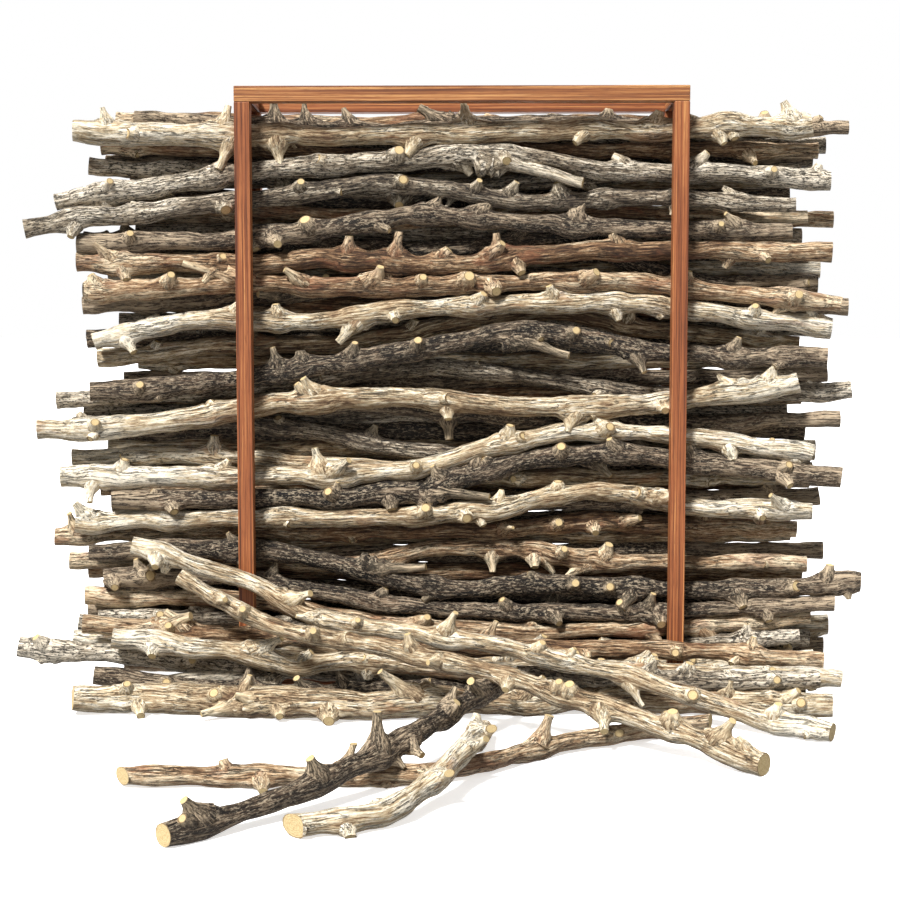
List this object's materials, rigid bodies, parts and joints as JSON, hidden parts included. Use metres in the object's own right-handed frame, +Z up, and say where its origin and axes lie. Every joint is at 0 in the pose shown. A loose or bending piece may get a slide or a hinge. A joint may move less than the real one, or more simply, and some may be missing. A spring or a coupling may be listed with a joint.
{
  "type": "bundle of twigs",
  "caption": "Crooked cut twigs stacked level in a tall open frame of square battens, with a heap of more twigs and leaning and loose ones at its foot.",
  "frame": {"origin": "middle of the underside of the front bottom rail, on the floor", "axes": "+X along the twigs to the viewer's right, +Y from the viewer to the back, +Z up"},
  "size_m": [1.1016, 0.719, 0.79],
  "materials": {
    "frame_wood": "oiled reddish-brown sawn wood, satin",
    "pale_twig": "weathered pale wood with thin streaks, matt",
    "grey_twig": "grey mottled bark with dark flecks, matt",
    "dark_twig": "dark rough bark with pale flecks, matt",
    "brown_twig": "brown weathered wood with thin streaks, matt"
  },
  "bodies": {
    "root": {"front_top_rail": "frame_wood", "front_bottom_rail": "frame_wood", "front_left_leg": "frame_wood", "front_right_leg": "frame_wood", "rear_top_rail": "frame_wood", "rear_bottom_rail": "frame_wood", "rear_left_leg": "frame_wood", "rear_right_leg": "frame_wood", "top_left_spacer": "frame_wood", "top_right_spacer": "frame_wood", "bottom_left_spacer": "frame_wood", "bottom_right_spacer": "frame_wood", "front_twig_01": "pale_twig", "front_twig_02": "grey_twig", "front_twig_03": "brown_twig", "front_twig_04": "dark_twig", "front_twig_05": "dark_twig", "front_twig_06": "pale_twig", "front_twig_07": "dark_twig", "front_twig_08": "pale_twig", "front_twig_09": "pale_twig", "front_twig_10": "dark_twig", "front_twig_11": "pale_twig", "front_twig_12": "brown_twig", "front_twig_13": "brown_twig", "front_twig_14": "dark_twig", "front_twig_15": "grey_twig", "front_twig_16": "grey_twig", "front_twig_17": "pale_twig", "inner_twig_01": "brown_twig", "inner_twig_02": "grey_twig", "inner_twig_03": "dark_twig", "inner_twig_04": "brown_twig", "inner_twig_05": "brown_twig", "inner_twig_06": "dark_twig", "inner_twig_07": "pale_twig", "inner_twig_08": "grey_twig", "inner_twig_09": "dark_twig", "inner_twig_10": "grey_twig", "inner_twig_11": "pale_twig", "inner_twig_12": "dark_twig", "inner_twig_13": "dark_twig", "inner_twig_14": "brown_twig", "inner_twig_15": "grey_twig", "inner_twig_16": "brown_twig", "inner_twig_17": "dark_twig", "rear_twigs": "brown_twig", "heap_low_twig": "grey_twig", "heap_high_twig": "brown_twig", "heap_dark_twig": "dark_twig", "heap_front_twig": "pale_twig", "heap_thick_twig": "pale_twig", "heap_right_twig": "grey_twig", "short_leaning_twig": "pale_twig", "long_leaning_twig": "pale_twig", "loose_brown_twig": "brown_twig", "loose_dark_twig": "dark_twig", "loose_pale_twig": "pale_twig"}
  },
  "joints": []
}
